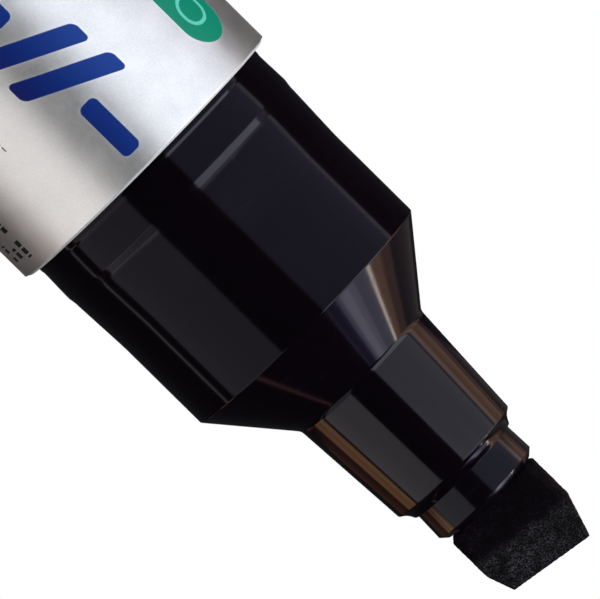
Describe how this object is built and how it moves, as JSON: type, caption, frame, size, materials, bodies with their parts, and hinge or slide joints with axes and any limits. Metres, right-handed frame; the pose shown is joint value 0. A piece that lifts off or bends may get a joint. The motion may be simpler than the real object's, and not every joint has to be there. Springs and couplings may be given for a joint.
{
  "type": "calligraphy marker",
  "caption": "Extra-broad chisel marker: silver round barrel, black stepped nose, slanted felt nib on a spring valve, and a black cap posted on the tail.",
  "frame": {"origin": "centre of the flat closed end of the cap, which is posted on the tail and which the marker stands on", "axes": "+Z along the marker's axis from the posted cap to the nib; the nib's wide bevelled faces look along +Y and -Y; the long corner of the slanted writing edge is on the -X side"},
  "size_m": [0.028, 0.028, 0.1877],
  "materials": {
    "black_plastic": "glossy near-black moulded polypropylene with a slightly blue cast",
    "silver_plastic": "satin silver moulded plastic",
    "silver_label": "satin pearl-silver printed film with broad blue strokes and a small green plain pill",
    "inked_felt": "firm bonded fibre soaked with black ink, matt and grainy",
    "seal_rubber": "matt black",
    "white_plastic": "matt off-white",
    "natural_plastic": "uncoloured milky plastic",
    "steel": "bright steel"
  },
  "bodies": {
    "barrel_unit": {"barrel": "silver_plastic", "barrel_label": "silver_label", "tail_plug": "black_plastic", "tail_seal_ring": "seal_rubber", "front_section": "black_plastic", "front_seal_ring": "seal_rubber", "valve_body": "natural_plastic", "valve_packing": "seal_rubber", "valve_retainer": "natural_plastic", "valve_spring": "steel"},
    "nib_unit": {"nib": "inked_felt", "nib_holder": "black_plastic", "valve_stem": "white_plastic"},
    "cap": {"cap_shell": "black_plastic", "cap_liner": "white_plastic"},
    "ball_1": {"mixing_ball_1": "steel"},
    "ball_2": {"mixing_ball_2": "steel"}
  },
  "joints": [
    {"name": "nib_press", "type": "slide", "parent": "barrel_unit", "child": "nib_unit", "axis": [0, 0, -1], "range_m": [0, 0.0018], "stiffness_N_per_m": 1000, "springref_m": -0.002, "deforming": ["valve_spring"]},
    {"name": "cap_pull", "type": "slide", "parent": "barrel_unit", "child": "cap", "axis": [0, 0, -1], "range_m": [0, 0.06]},
    {"name": "ball_1_roll", "type": "slide", "parent": "barrel_unit", "child": "ball_1", "axis": [0, 0, 1], "range_m": [0, 0.099]},
    {"name": "ball_2_roll", "type": "slide", "parent": "barrel_unit", "child": "ball_2", "axis": [0, 0, 1], "range_m": [0, 0.099]}
  ]
}
